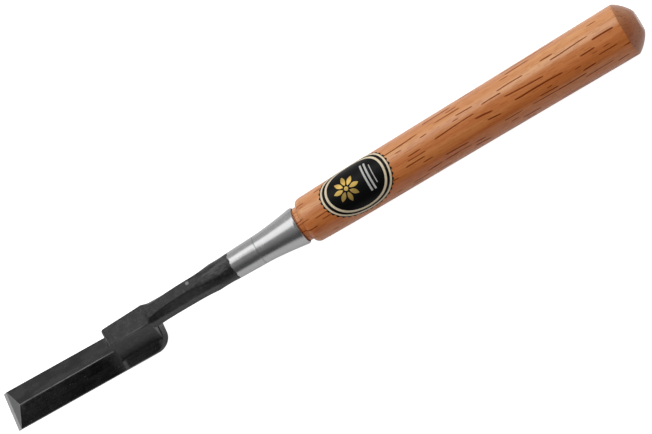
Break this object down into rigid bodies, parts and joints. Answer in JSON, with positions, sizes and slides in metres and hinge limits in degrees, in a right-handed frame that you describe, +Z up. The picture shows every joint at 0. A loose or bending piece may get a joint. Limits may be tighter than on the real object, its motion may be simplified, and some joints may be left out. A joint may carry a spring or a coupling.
{
  "type": "crank-neck hand chisel",
  "caption": "Japanese crank-neck paring chisel: flat-backed ridged blade, raised octagonal forged neck, flared steel ferrule and a long turned red oak handle with an oval label",
  "frame": {"origin": "middle of the bottom of the tool's box, as it lies on a bench on the rear edge of its blade and the butt of its handle", "axes": "+X from the cutting edge to the butt, +Z up, away from the flat back of the blade; the tool is symmetric about Y = 0"},
  "size_m": [0.4018, 0.0302, 0.0315],
  "materials": {
    "forged_iron": "black forge scale, semi-matt",
    "ground_steel": "ground on a stone, fine straight scratches",
    "bright_steel": "turned and polished, fine rings",
    "red_oak": "orange-brown oak with dark open pores under a thin clear lacquer",
    "label_foil": "glossy printed film, black with cream rings"
  },
  "bodies": {
    "root": {"blade_iron": "forged_iron", "cutting_steel": "ground_steel", "neck_and_tang": "forged_iron", "ferrule": "bright_steel", "handle": "red_oak", "label": "label_foil"}
  },
  "joints": []
}
